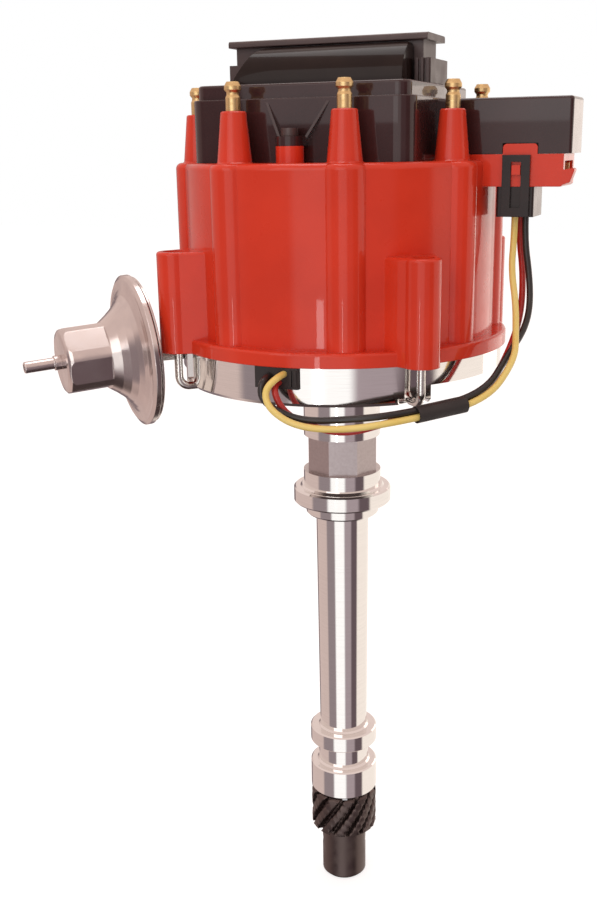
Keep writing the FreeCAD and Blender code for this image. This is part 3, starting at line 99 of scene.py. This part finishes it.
class Shader:
    """A node material being put together."""

    def __init__(self, name):
        self.material = bpy.data.materials.new(name)
        self.material.use_nodes = True
        self.tree = self.material.node_tree
        self.tree.nodes.clear()
        self.output = self.node("ShaderNodeOutputMaterial")
        self.surface = self.node("ShaderNodeBsdfPrincipled")
        self.link(self.surface, "BSDF", self.output, "Surface")
        self.place = self.node("ShaderNodeTexCoord")

    def node(self, kind, **values):
        made = self.tree.nodes.new(kind)
        for key, value in values.items():
            setattr(made, key, value)
        return made

    def link(self, source, output, target, name):
        self.tree.links.new(source.outputs[output], target.inputs[name])

    def set(self, **values):
        for key, value in values.items():
            self.surface.inputs[key.replace("_", " ")].default_value = value

    def noise(self, scale, detail=3.0, stretch=None, distortion=0.0):
        made = self.node("ShaderNodeTexNoise")
        made.inputs["Scale"].default_value = scale
        made.inputs["Detail"].default_value = detail
        made.inputs["Distortion"].default_value = distortion
        if stretch is None:
            self.link(self.place, "Object", made, "Vector")
        else:
            mapping = self.node("ShaderNodeMapping")
            mapping.inputs["Scale"].default_value = stretch
            self.link(self.place, "Object", mapping, "Vector")
            self.link(mapping, "Vector", made, "Vector")
        return made

    def span(self, source, output, low, high, at_low, at_high):
        made = self.node("ShaderNodeMapRange")
        made.inputs["From Min"].default_value = low
        made.inputs["From Max"].default_value = high
        made.inputs["To Min"].default_value = at_low
        made.inputs["To Max"].default_value = at_high
        self.link(source, output, made, "Value")
        return made

    def mix(self, factor, output, colour_a, colour_b):
        made = self.node("ShaderNodeMix", data_type="RGBA")
        made.inputs["A"].default_value = (*colour_a, 1.0)
        made.inputs["B"].default_value = (*colour_b, 1.0)
        if factor is not None:
            self.tree.links.new(factor.outputs[output], made.inputs["Factor"])
        return made

    def bump(self, height, output, distance, strength=1.0, edge=0.0):
        made = self.node("ShaderNodeBump")
        made.inputs["Distance"].default_value = distance
        made.inputs["Strength"].default_value = strength
        if height is not None:
            self.link(height, output, made, "Height")
        if edge:
            rounded = self.node("ShaderNodeBevel", samples=4)
            rounded.inputs["Radius"].default_value = edge
            self.link(rounded, "Normal", made, "Normal")
        self.link(made, "Normal", self.surface, "Normal")
        return made


def plastic(name, colour, variation, rough, coat, grain, edge, scale=60.0, specular=0.5):
    """Moulded plastic: a soft change of colour and gloss, flow unevenness and rounded edges."""
    shader = Shader(name)
    clouds = shader.noise(scale, 4.0)
    tone = shader.mix(shader.span(clouds, "Fac", 0.35, 0.65, 0.0, 1.0), "Result", colour, variation)
    shader.link(tone, "Result", shader.surface, "Base Color")
    gloss = shader.noise(scale * 2.3, 5.0)
    unevenness = shader.span(gloss, "Fac", 0.3, 0.7, rough * 0.8, rough * 1.25)
    shader.link(unevenness, "Result", shader.surface, "Roughness")
    fine = shader.noise(900.0, 3.0)
    shader.bump(fine, "Fac", grain, 0.6, edge)
    shader.set(Coat_Weight=coat, Coat_Roughness=0.03, Specular_IOR_Level=specular)
    return shader


def metal(name, colour, variation, rough, stretch, grain, edge, scale=300.0):
    """Bare or plated metal with fine tool marks along one direction."""
    shader = Shader(name)
    marks = shader.noise(scale, 5.0, stretch)
    tone = shader.mix(shader.span(marks, "Fac", 0.35, 0.65, 0.0, 1.0), "Result", colour, variation)
    shader.link(tone, "Result", shader.surface, "Base Color")
    unevenness = shader.span(marks, "Fac", 0.3, 0.7, rough * 0.75, rough * 1.4)
    shader.link(unevenness, "Result", shader.surface, "Roughness")
    shader.bump(marks, "Fac", grain, 0.5, edge)
    shader.set(Metallic=1.0)
    return shader


def dress(shader, *names):
    for name in names:
        data = nodes[name].data
        data.materials.clear()
        data.materials.append(shader.material)


def make_materials():
    made = {}
    made["red"] = plastic(
        "red_moulding", (0.70, 0.046, 0.018), (0.63, 0.040, 0.016), rough=0.30, coat=0.55,
        grain=fine_grain, edge=0.0006, scale=40.0, specular=0.10)
    made["cover"] = plastic(
        "black_cover", (0.044, 0.018, 0.018), (0.036, 0.014, 0.014), rough=0.25, coat=0.70,
        grain=fine_grain, edge=0.0006, specular=0.10)
    made["potting"] = plastic(
        "black_potting", (0.020, 0.011, 0.009), (0.015, 0.008, 0.007), rough=0.20, coat=0.28,
        grain=fine_grain, edge=0.0008, specular=0.05)
    made["core"] = plastic(
        "black_iron", (0.080, 0.048, 0.045), (0.062, 0.037, 0.035), rough=0.34, coat=0.0,
        grain=rough_grain, edge=0.0004)
    made["plug"] = plastic(
        "black_moulding", (0.024, 0.014, 0.013), (0.016, 0.010, 0.010), rough=0.28, coat=0.4,
        grain=0.000005, edge=0.0003, specular=0.15)
    made["rubber"] = plastic(
        "black_rubber", (0.018, 0.013, 0.013), (0.026, 0.020, 0.019), rough=0.5, coat=0.0,
        grain=0.00005, edge=0.0003)
    made["rotor"] = plastic(
        "rotor_moulding", (0.62, 0.58, 0.50), (0.56, 0.52, 0.44), rough=0.4, coat=0.0,
        grain=rough_grain, edge=0.0003)
    made["magnet"] = plastic(
        "magnet", (0.03, 0.03, 0.032), (0.05, 0.05, 0.052), rough=0.6, coat=0.0,
        grain=0.00004, edge=0.0002)
    made["carbon"] = plastic(
        "carbon", (0.02, 0.02, 0.021), (0.035, 0.035, 0.036), rough=0.6, coat=0.0,
        grain=0.00004, edge=0.0002)
    made["brass"] = metal(
        "brass", (0.78, 0.56, 0.28), (0.70, 0.48, 0.22), rough=0.34,
        stretch=(1, 1, 8), grain=0.000003, edge=0.0004)
    made["bronze"] = metal(
        "bronze", (0.45, 0.28, 0.14), (0.38, 0.23, 0.11), rough=0.35,
        stretch=(1, 1, 8), grain=rough_grain, edge=0.0002, scale=500.0)
    made["steel"] = metal(
        "plated_steel", (0.62, 0.60, 0.56), (0.52, 0.50, 0.47), rough=0.25,
        stretch=(1, 1, 1), grain=plate_grain, edge=0.0002, scale=400.0)
    made["ground"] = metal(
        "ground_steel", (0.55, 0.55, 0.56), (0.46, 0.46, 0.47), rough=0.2,
        stretch=(1, 1, 12), grain=plate_grain, edge=0.0002, scale=400.0)
    made["latch"] = metal(
        "latch_steel", (0.70, 0.67, 0.64), (0.60, 0.58, 0.55), rough=0.16,
        stretch=(1, 1, 3), grain=plate_grain, edge=0.0002)
    made["can"] = metal(
        "plated_can", (0.74, 0.66, 0.63), (0.66, 0.59, 0.57), rough=0.16,
        stretch=(1, 1, 1), grain=0.000003, edge=0.0005, scale=90.0)
    made["gear"] = metal(
        "dark_gear", (0.110, 0.082, 0.078), (0.14, 0.108, 0.100), rough=0.38,
        stretch=(1, 1, 1), grain=fine_grain, edge=0.0009, scale=150.0)
    made["aluminium"] = housing_metal()
    for name, colour, other in (
            ("yellow", (0.82, 0.62, 0.16), (0.86, 0.68, 0.22)),
            ("black", (0.014, 0.011, 0.011), (0.024, 0.020, 0.019)),
            ("red_lead", (0.50, 0.030, 0.022), (0.42, 0.022, 0.018))):
        made[name] = plastic(
            name + "_insulation", colour, other, rough=0.36, coat=0.1, grain=0.00003, edge=0.0)
    return made


def housing_metal():
    """Machined aluminium: turned rings of tool marks, and the octagon left as cast."""
    shader = Shader("cast_aluminium")
    split = shader.node("ShaderNodeSeparateXYZ")
    shader.link(shader.place, "Object", split, "Vector")
    marks = shader.noise(260.0, 4.0, (0.25, 0.25, 14.0))
    low = shader.span(split, "Z", *cast_low, 0.0, 1.0)
    high = shader.span(split, "Z", *cast_high, 1.0, 0.0)
    cast = shader.node("ShaderNodeMath", operation="MULTIPLY")
    shader.tree.links.new(low.outputs["Result"], cast.inputs[0])
    shader.tree.links.new(high.outputs["Result"], cast.inputs[1])
    bright = shader.mix(
        shader.span(marks, "Fac", 0.3, 0.7, 0.0, 1.0), "Result", (0.88, 0.86, 0.84), (0.82, 0.80, 0.78))
    grains = shader.noise(900.0, 6.0)
    dull = shader.mix(
        shader.span(grains, "Fac", 0.3, 0.7, 0.0, 1.0), "Result", (0.47, 0.41, 0.41), (0.43, 0.37, 0.37))
    tone = shader.node("ShaderNodeMix", data_type="RGBA")
    shader.tree.links.new(cast.outputs[0], tone.inputs["Factor"])
    shader.link(bright, "Result", tone, "A")
    shader.link(dull, "Result", tone, "B")
    shader.link(tone, "Result", shader.surface, "Base Color")
    fine = shader.span(marks, "Fac", 0.3, 0.7, 0.06, 0.11)
    coarse = shader.span(grains, "Fac", 0.3, 0.7, 0.28, 0.36)
    rough = shader.node("ShaderNodeMix")
    shader.tree.links.new(cast.outputs[0], rough.inputs["Factor"])
    shader.link(fine, "Result", rough, "A")
    shader.link(coarse, "Result", rough, "B")
    shader.link(rough, "Result", shader.surface, "Roughness")
    shader.bump(marks, "Fac", fine_grain, 0.4)
    shader.set(Metallic=1.0)
    return shader


def dress_nodes(made):
    dress(made["aluminium"], "housing")
    dress(made["red"], "cap")
    dress(made["cover"], "coil_cover")
    dress(made["potting"], "coil_winding")
    dress(made["core"], "coil_core", "cover_screws")
    dress(made["plug"], "plug_body", "plug_clip", "ignition_module")
    dress(made["rubber"], "wire_grommet", "wire_sleeve", "coil_seal", "vacuum_diaphragm")
    dress(made["rotor"], "rotor", "pickup_coil")
    dress(made["magnet"], "pickup_magnet")
    dress(made["carbon"], "carbon_contact")
    dress(made["brass"], "spark_terminals", "socket_blades", "rotor_blade")
    dress(made["bronze"], "upper_bushing", "lower_bushing")
    dress(made["can"], "vacuum_front_shell", "vacuum_rear_shell", "vacuum_nipple")
    dress(
        made["steel"], "module_screws", "capacitor", "capacitor_screw", "carbon_spring", "coil_screws",
        "vacuum_spring", "vacuum_bracket", "vacuum_rod", "bracket_screws", "latch_springs", "weight_base",
        "rotor_screws", "advance_weight_1", "advance_weight_2", "pickup_plate", "pickup_clip", "pole_piece")
    dress(
        made["ground"], "main_shaft", "gear_pin", "thrust_washer", "centre_bar", "trigger_wheel",
        "weight_spring_1", "weight_spring_2")
    dress(made["gear"], "drive_gear")
    dress(made["latch"], "latch_1", "latch_2", "latch_3", "latch_4")


# Leads: each has its turn round the sleeve's axis in degrees, its length, and its points down from the
# plug and on from the sleeve into the grommet

lead_radius = 0.00135
lead_gap = 0.00001
lead_spread = 30.0
sleeve_right = Vector((0.0681, -0.0457, 0.0600))
sleeve_left = Vector((0.0536, -0.0621, 0.0583))
sleeve_lead = 0.0085
leads = {
    "yellow": (-30, 0.1903, [
        (0.0763, -0.0050, 0.1287), (0.0763, -0.0050, 0.1195), (0.0762, -0.0078, 0.1080),
        (0.0794, -0.0118, 0.0945), (0.0812, -0.0184, 0.0840), (0.0833, -0.0279, 0.0749)], [
        (0.0305, -0.0768, 0.0539), (0.0128, -0.0804, 0.0543), (0.0024, -0.0827, 0.0607),
        (-0.0009, -0.0803, 0.0674), (0.0034, -0.0774, 0.0724), (0.0034, -0.0710, 0.0724)]),
    "black": (90, 0.1881, [
        (0.0798, -0.0010, 0.1287), (0.0798, -0.0010, 0.1190), (0.0826, -0.0020, 0.1040),
        (0.0840, -0.0060, 0.0920), (0.0832, -0.0130, 0.0840), (0.0800, -0.0233, 0.0769)], [
        (0.0302, -0.0744, 0.0573), (0.0135, -0.0768, 0.0560), (0.0026, -0.0798, 0.0604),
        (-0.0034, -0.0786, 0.0646), (-0.0026, -0.0776, 0.0714), (-0.0026, -0.0710, 0.0714)]),
    "red": (210, 0.1845, [
        (0.0768, 0.0030, 0.1287), (0.0768, 0.0030, 0.1190), (0.0790, 0.0015, 0.1065),
        (0.0804, -0.0045, 0.0930), (0.0799, -0.0120, 0.0830), (0.0779, -0.0239, 0.0728)], [
        (0.0296, -0.0737, 0.0512), (0.0137, -0.0729, 0.0534), (0.0049, -0.0765, 0.0590),
        (0.0012, -0.0776, 0.0690), (0.0012, -0.0710, 0.0690)]),
}


def lead_points(down, under, around):
    along = (sleeve_left - sleeve_right).normalized()
    outward = Vector((0, 0, 1)).cross(along).normalized()
    above = along.cross(outward)
    spread = (lead_radius + lead_gap) / math.cos(math.radians(lead_spread))
    turn = math.radians(around)
    offset = (outward * math.cos(turn) + above * math.sin(turn)) * spread
    middle = [sleeve_right - along * sleeve_lead + offset, sleeve_left + along * sleeve_lead + offset]
    return [Vector(point) for point in down] + middle + [Vector(point) for point in under]


def make_leads(made):
    looks = {"yellow": "yellow", "black": "black", "red": "red_lead"}
    for name, (around, length, down, under) in leads.items():
        points = lead_points(down, under, around)
        data = bpy.data.curves.new("lead_" + name, "CURVE")
        data.dimensions = "3D"
        data.bevel_depth = lead_radius
        data.bevel_resolution = 4
        data.resolution_u = 10
        data.use_fill_caps = True
        spline = data.splines.new("NURBS")
        spline.points.add(len(points) - 1)
        for place, point in enumerate(points):
            spline.points[place].co = (*point, 1.0)
        spline.order_u = 3
        spline.use_endpoint_u = True
        lead = bpy.data.objects.new("lead_" + name, data)
        bpy.context.scene.collection.objects.link(lead)
        data.materials.append(made[looks[name]].material)
        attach(lead, "housing")
        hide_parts("wire_" + name)


# Studio: each panel of the tent has its start and end round the part in degrees and its colour.
# The roof and the ground take over between two heights of the direction looked in, up and down.

panel_edge = 3.0
panels = [
    (-180.0, -144.0, (0.68, 0.53, 0.49)),
    (-144.0, -104.0, (0.31, 0.25, 0.26)),
    (-104.0, -61.0, (1.18, 1.16, 1.15)),
    (-61.0, -30.0, (0.42, 0.34, 0.36)),
    (-30.0, -1.0, (0.14, 0.10, 0.11)),
    (-1.0, 112.5, (1.04, 0.94, 0.86)),
    (112.5, 142.0, (0.22, 0.17, 0.18)),
    (142.0, 180.0, (0.68, 0.53, 0.49)),
]
roof_low = 0.08
roof_high = 0.30
roof_colour = (0.86, 0.70, 0.65)
ground_high = -0.74
ground_low = -0.86
ground_colour = (0.07, 0.05, 0.05)

# Floor: a paper that takes the part's shadow, seen by the camera alone

floor_half = 4.0
floor_gap = 0.0002
floor_shadow = 0.5
floor_glow = 1.5
floor_colour = (0.9, 0.9, 0.9)

# Lamps: name, place, target, size of the face, glow and colour

lamps = [
    ("key", (-0.12, -1.0, 0.55), (0, 0, 0.08), (0.80, 0.80), 1.0, (1, 1, 1)),
    ("strip", (0.07, -0.72, -0.09), (0, -0.07, 0.0), (0.040, 0.20), 6.0, (1, 1, 1)),
    ("side", (0.31, 0.52, 0.06), (0.05, 0, 0.10), (0.30, 0.30), 0.85, (1.0, 0.84, 0.76)),
    ("top", (-0.10, 0.15, 0.90), (0, 0, 0.12), (0.50, 0.50), 2.2, (1, 1, 1)),
]


def make_floor():
    level = cad_box[0][2] - floor_gap
    corners = [(x * floor_half, y * floor_half, level) for x, y in ((-1, -1), (1, -1), (1, 1), (-1, 1))]
    mesh = bpy.data.meshes.new("floor")
    mesh.from_pydata(corners, [], [(0, 1, 2, 3)])
    floor = bpy.data.objects.new("floor", mesh)
    bpy.context.scene.collection.objects.link(floor)
    material = bpy.data.materials.new("floor")
    material.use_nodes = True
    tree = material.node_tree
    tree.nodes.clear()
    output = tree.nodes.new("ShaderNodeOutputMaterial")
    glow = tree.nodes.new("ShaderNodeEmission")
    glow.inputs["Color"].default_value = (1, 1, 1, 1)
    glow.inputs["Strength"].default_value = floor_glow
    paper = tree.nodes.new("ShaderNodeBsdfDiffuse")
    paper.inputs["Color"].default_value = (*floor_colour, 1)
    shaded = tree.nodes.new("ShaderNodeMixShader")
    shaded.inputs["Fac"].default_value = floor_shadow
    tree.links.new(glow.outputs["Emission"], shaded.inputs[1])
    tree.links.new(paper.outputs["BSDF"], shaded.inputs[2])
    clear = tree.nodes.new("ShaderNodeBsdfTransparent")
    path = tree.nodes.new("ShaderNodeLightPath")
    blend = tree.nodes.new("ShaderNodeMixShader")
    tree.links.new(path.outputs["Is Camera Ray"], blend.inputs["Fac"])
    tree.links.new(clear.outputs["BSDF"], blend.inputs[1])
    tree.links.new(shaded.outputs["Shader"], blend.inputs[2])
    tree.links.new(blend.outputs["Shader"], output.inputs["Surface"])
    mesh.materials.append(material)


def make_world():
    """White to the camera. In reflections a tent: panels round the part, the roof above, dark below."""
    world = bpy.data.worlds.new("studio")
    bpy.context.scene.world = world
    world.use_nodes = True
    tree = world.node_tree
    tree.nodes.clear()

    def node(kind, **values):
        made = tree.nodes.new(kind)
        for key, value in values.items():
            setattr(made, key, value)
        return made

    def link(source, output, target, name):
        tree.links.new(source.outputs[output], target.inputs[name])

    output = node("ShaderNodeOutputWorld")
    back = node("ShaderNodeBackground")
    back.inputs["Color"].default_value = (1, 1, 1, 1)
    room = node("ShaderNodeBackground")
    room.inputs["Strength"].default_value = 1.0
    place = node("ShaderNodeTexCoord")
    split = node("ShaderNodeSeparateXYZ")
    link(place, "Generated", split, "Vector")
    angle = node("ShaderNodeMath", operation="ARCTAN2")
    tree.links.new(split.outputs["Y"], angle.inputs[0])
    tree.links.new(split.outputs["X"], angle.inputs[1])
    share = node("ShaderNodeMapRange")
    share.inputs["From Min"].default_value = -math.pi
    share.inputs["From Max"].default_value = math.pi
    link(angle, "Value", share, "Value")
    ramp = node("ShaderNodeValToRGB")
    stops = []
    for start, end, colour in panels:
        stops += [(start + panel_edge, colour), (end - panel_edge, colour)]
    while len(ramp.color_ramp.elements) < len(stops):
        ramp.color_ramp.elements.new(0.5)
    for element, (degrees, colour) in zip(ramp.color_ramp.elements, stops):
        element.position = (degrees + 180) / 360
        element.color = (*colour, 1)
    link(share, "Result", ramp, "Fac")
    above = node("ShaderNodeMapRange")
    above.inputs["From Min"].default_value = roof_low
    above.inputs["From Max"].default_value = roof_high
    link(split, "Z", above, "Value")
    roof = node("ShaderNodeMix", data_type="RGBA")
    roof.inputs["B"].default_value = (*roof_colour, 1)
    link(above, "Result", roof, "Factor")
    link(ramp, "Color", roof, "A")
    below = node("ShaderNodeMapRange")
    below.inputs["From Min"].default_value = ground_high
    below.inputs["From Max"].default_value = ground_low
    link(split, "Z", below, "Value")
    ground = node("ShaderNodeMix", data_type="RGBA")
    ground.inputs["B"].default_value = (*ground_colour, 1)
    link(below, "Result", ground, "Factor")
    link(roof, "Result", ground, "A")
    link(ground, "Result", room, "Color")
    path = node("ShaderNodeLightPath")
    blend = node("ShaderNodeMixShader")
    link(path, "Is Camera Ray", blend, "Fac")
    tree.links.new(room.outputs["Background"], blend.inputs[1])
    tree.links.new(back.outputs["Background"], blend.inputs[2])
    link(blend, "Shader", output, "Surface")


def area_light(name, place, target, size, glow, colour):
    """A soft box that the camera doesn't see; glow is how bright its face is, where 1 is white."""
    data = bpy.data.lights.new(name, "AREA")
    data.shape = "RECTANGLE"
    data.size, data.size_y = size
    data.energy = glow * math.pi * size[0] * size[1]
    data.color = colour
    light = bpy.data.objects.new(name, data)
    light.location = place
    direction = Vector(target) - Vector(place)
    light.rotation_euler = direction.to_track_quat("-Z", "Y").to_euler()
    light.visible_camera = False
    bpy.context.scene.collection.objects.link(light)


def make_lights():
    for lamp in lamps:
        area_light(*lamp)


make_camera()
materials = make_materials()
dress_nodes(materials)
make_leads(materials)
make_floor()
make_world()
make_lights()
view = bpy.context.scene.view_settings
view.view_transform = "Standard"
